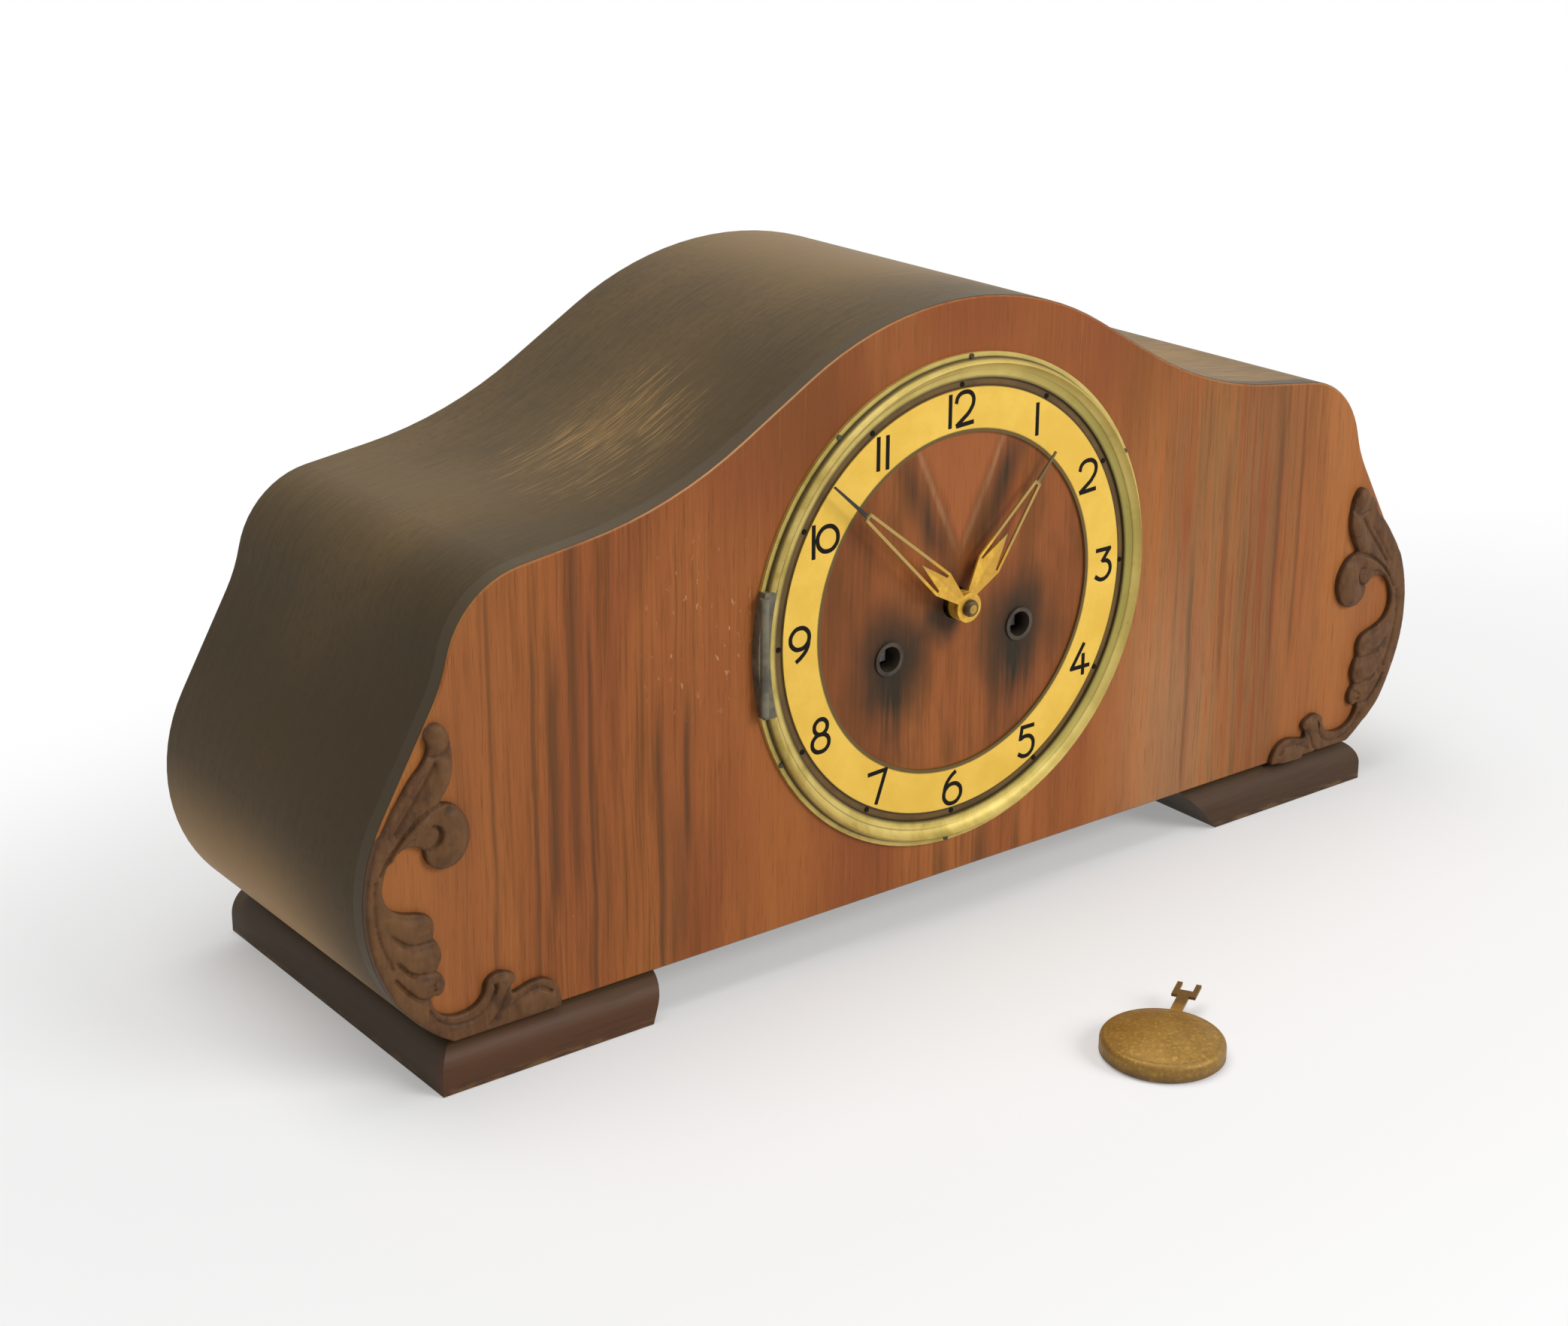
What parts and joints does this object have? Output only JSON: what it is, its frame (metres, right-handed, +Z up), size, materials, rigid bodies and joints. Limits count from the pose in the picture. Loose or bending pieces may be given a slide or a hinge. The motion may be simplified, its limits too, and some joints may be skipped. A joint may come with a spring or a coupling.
{
  "type": "mantel clock",
  "caption": "Hump-back wooden mantel clock on moulded feet, brass dial ring and hands, carved scrolls, hinged back door, striking movement and an unhooked pendulum bob",
  "frame": {"origin": "centre of the footprint on the table, bob included", "axes": "+X to the right of a viewer facing the dial, +Y away from that viewer into the case, +Z up"},
  "size_m": [0.4544, 0.2736, 0.217],
  "materials": {
    "veneer": "satin walnut veneer, crown-cut figure",
    "case_wood": "dark stained satin wood, worn pale on the shoulders",
    "carved_wood": "dark stained carved wood",
    "plain_wood": "plain stained wood, thin finish",
    "bezel_brass": "aged lacquered brass",
    "bright_brass": "polished brass",
    "dial_brass": "satin gilt brass",
    "dark_metal": "tarnished steel",
    "hinge_brass": "brushed brass",
    "movement_brass": "brushed brass plate",
    "steel": "bright steel"
  },
  "bodies": {
    "case": {"front_panel": "veneer", "case_wrap": "case_wood", "base_board": "case_wood", "back_frame": "plain_wood", "door_stop": "plain_wood", "hinge_frame_leaves": "hinge_brass", "hinge_pins": "hinge_brass", "foot_right": "case_wood", "foot_left": "case_wood", "foot_screws": "steel", "carving_right": "carved_wood", "carving_left": "carved_wood", "bezel_ring": "bezel_brass", "bezel_pins": "bright_brass", "bezel_hinge_plate": "dark_metal", "chapter_ring": "dial_brass", "winding_ferrules": "dark_metal", "front_plate": "movement_brass", "back_plate": "movement_brass", "pillars": "movement_brass", "pillar_nuts": "movement_brass", "mounting_posts": "movement_brass", "mounting_screws": "steel", "suspension_cock": "movement_brass", "gong_block": "plain_wood", "gong_rods": "steel"},
    "door": {"back_door": "plain_wood", "back_door_knob": "bright_brass", "hinge_door_leaves": "hinge_brass"},
    "minute_works": {"minute_hand": "bright_brass", "hand_nut": "bright_brass", "cannon_pinion": "steel", "centre_wheel": "movement_brass"},
    "hour_works": {"hour_hand": "bright_brass", "hour_wheel": "movement_brass"},
    "motion_wheel": {"minute_wheel": "movement_brass"},
    "second_arbor": {"second_wheel": "movement_brass"},
    "time_spring_barrel": {"time_barrel": "movement_brass"},
    "third_arbor": {"third_wheel": "movement_brass"},
    "escape_arbor": {"escape_wheel": "movement_brass"},
    "time_winder": {"time_winding_arbor": "steel", "time_ratchet": "steel"},
    "time_pawl": {"time_click": "steel"},
    "pallets": {"pallet_anchor": "steel", "crutch": "steel"},
    "pendulum": {"suspension_spring": "steel", "pendulum_leader": "steel"},
    "bob": {"pendulum_bob": "bright_brass"},
    "pin_arbor": {"pin_wheel": "movement_brass"},
    "strike_spring_barrel": {"strike_barrel": "movement_brass"},
    "warning_arbor": {"warning_wheel": "movement_brass"},
    "fly_arbor": {"fly": "movement_brass"},
    "strike_winder": {"strike_winding_arbor": "steel", "strike_ratchet": "steel"},
    "strike_pawl": {"strike_click": "steel"},
    "hammers": {"hammer_arbor": "steel", "hammer_heads": "bright_brass"}
  },
  "joints": [
    {"name": "minute_turn", "type": "hinge", "parent": "case", "child": "minute_works", "pos_m": [0, 0.02485, 0.114], "axis": [0, 1, 0], "continuous": true},
    {"name": "hour_turn", "type": "hinge", "parent": "case", "child": "hour_works", "pos_m": [0, 0.02485, 0.114], "axis": [0, 1, 0], "continuous": true},
    {"name": "motion_turn", "type": "hinge", "parent": "case", "child": "motion_wheel", "pos_m": [0, 0.02485, 0.1], "axis": [0, 1, 0], "continuous": true},
    {"name": "second_turn", "type": "hinge", "parent": "case", "child": "second_arbor", "pos_m": [0.01564, 0.02485, 0.12522], "axis": [0, 1, 0], "continuous": true},
    {"name": "time_barrel_turn", "type": "hinge", "parent": "case", "child": "time_spring_barrel", "pos_m": [0.0286, 0.02485, 0.1004], "axis": [0, 1, 0], "continuous": true},
    {"name": "third_turn", "type": "hinge", "parent": "case", "child": "third_arbor", "pos_m": [-0.00581, 0.02485, 0.12997], "axis": [0, 1, 0], "continuous": true},
    {"name": "escape_turn", "type": "hinge", "parent": "case", "child": "escape_arbor", "pos_m": [0, 0.02485, 0.14302], "axis": [0, 1, 0], "continuous": true},
    {"name": "time_winding", "type": "hinge", "parent": "case", "child": "time_winder", "pos_m": [0.0286, 0.02485, 0.1004], "axis": [0, 1, 0], "continuous": true},
    {"name": "time_click_lift", "type": "hinge", "parent": "case", "child": "time_pawl", "pos_m": [0.03541, 0.02485, 0.1132], "axis": [0, -1, 0], "range_deg": [0, 12]},
    {"name": "pendulum_swing", "type": "hinge", "parent": "case", "child": "pendulum", "pos_m": [0, 0.02485, 0.15852], "axis": [0, 1, 0], "range_deg": [-3, 3]},
    {"name": "pallet_swing", "type": "hinge", "parent": "case", "child": "pallets", "pos_m": [0, 0.02485, 0.15852], "axis": [0, 1, 0], "range_deg": [-3, 3]},
    {"name": "pin_turn", "type": "hinge", "parent": "case", "child": "pin_arbor", "pos_m": [-0.03585, 0.02485, 0.12745], "axis": [0, 1, 0], "continuous": true},
    {"name": "strike_barrel_turn", "type": "hinge", "parent": "case", "child": "strike_spring_barrel", "pos_m": [-0.0286, 0.02485, 0.1004], "axis": [0, 1, 0], "continuous": true},
    {"name": "warning_turn", "type": "hinge", "parent": "case", "child": "warning_arbor", "pos_m": [-0.02972, 0.02485, 0.14429], "axis": [0, 1, 0], "continuous": true},
    {"name": "fly_turn", "type": "hinge", "parent": "case", "child": "fly_arbor", "pos_m": [-0.01899, 0.02485, 0.15328], "axis": [0, 1, 0], "continuous": true},
    {"name": "strike_winding", "type": "hinge", "parent": "case", "child": "strike_winder", "pos_m": [-0.0286, 0.02485, 0.1004], "axis": [0, 1, 0], "continuous": true},
    {"name": "strike_click_lift", "type": "hinge", "parent": "case", "child": "strike_pawl", "pos_m": [-0.03541, 0.02485, 0.1132], "axis": [0, 1, 0], "range_deg": [0, 12]},
    {"name": "hammer_lift", "type": "hinge", "parent": "case", "child": "hammers", "pos_m": [-0.054, 0.02485, 0.11], "axis": [0, 1, 0], "range_deg": [0, 14]},
    {"name": "door_hinge", "type": "hinge", "parent": "case", "child": "door", "pos_m": [-0.1083, 0.12425, 0.084], "axis": [0, 0, 1], "range_deg": [0, 110]},
    {"name": "bob_lift", "type": "slide", "parent": "case", "child": "bob", "axis": [0, 0, 1], "range_m": [0, 0.1]}
  ],
  "couplings": [
    {"joint": "hour_turn", "follows": "minute_turn", "ratio": 0.083333},
    {"joint": "motion_turn", "follows": "minute_turn", "ratio": -0.33333},
    {"joint": "second_turn", "follows": "minute_turn", "ratio": -0.16667},
    {"joint": "time_barrel_turn", "follows": "minute_turn", "ratio": 0.027778},
    {"joint": "third_turn", "follows": "minute_turn", "ratio": -9},
    {"joint": "escape_turn", "follows": "minute_turn", "ratio": 99},
    {"joint": "pallet_swing", "follows": "pendulum_swing", "ratio": 1},
    {"joint": "strike_barrel_turn", "follows": "pin_turn", "ratio": -0.16667},
    {"joint": "warning_turn", "follows": "pin_turn", "ratio": -6},
    {"joint": "fly_turn", "follows": "pin_turn", "ratio": 36}
  ]
}
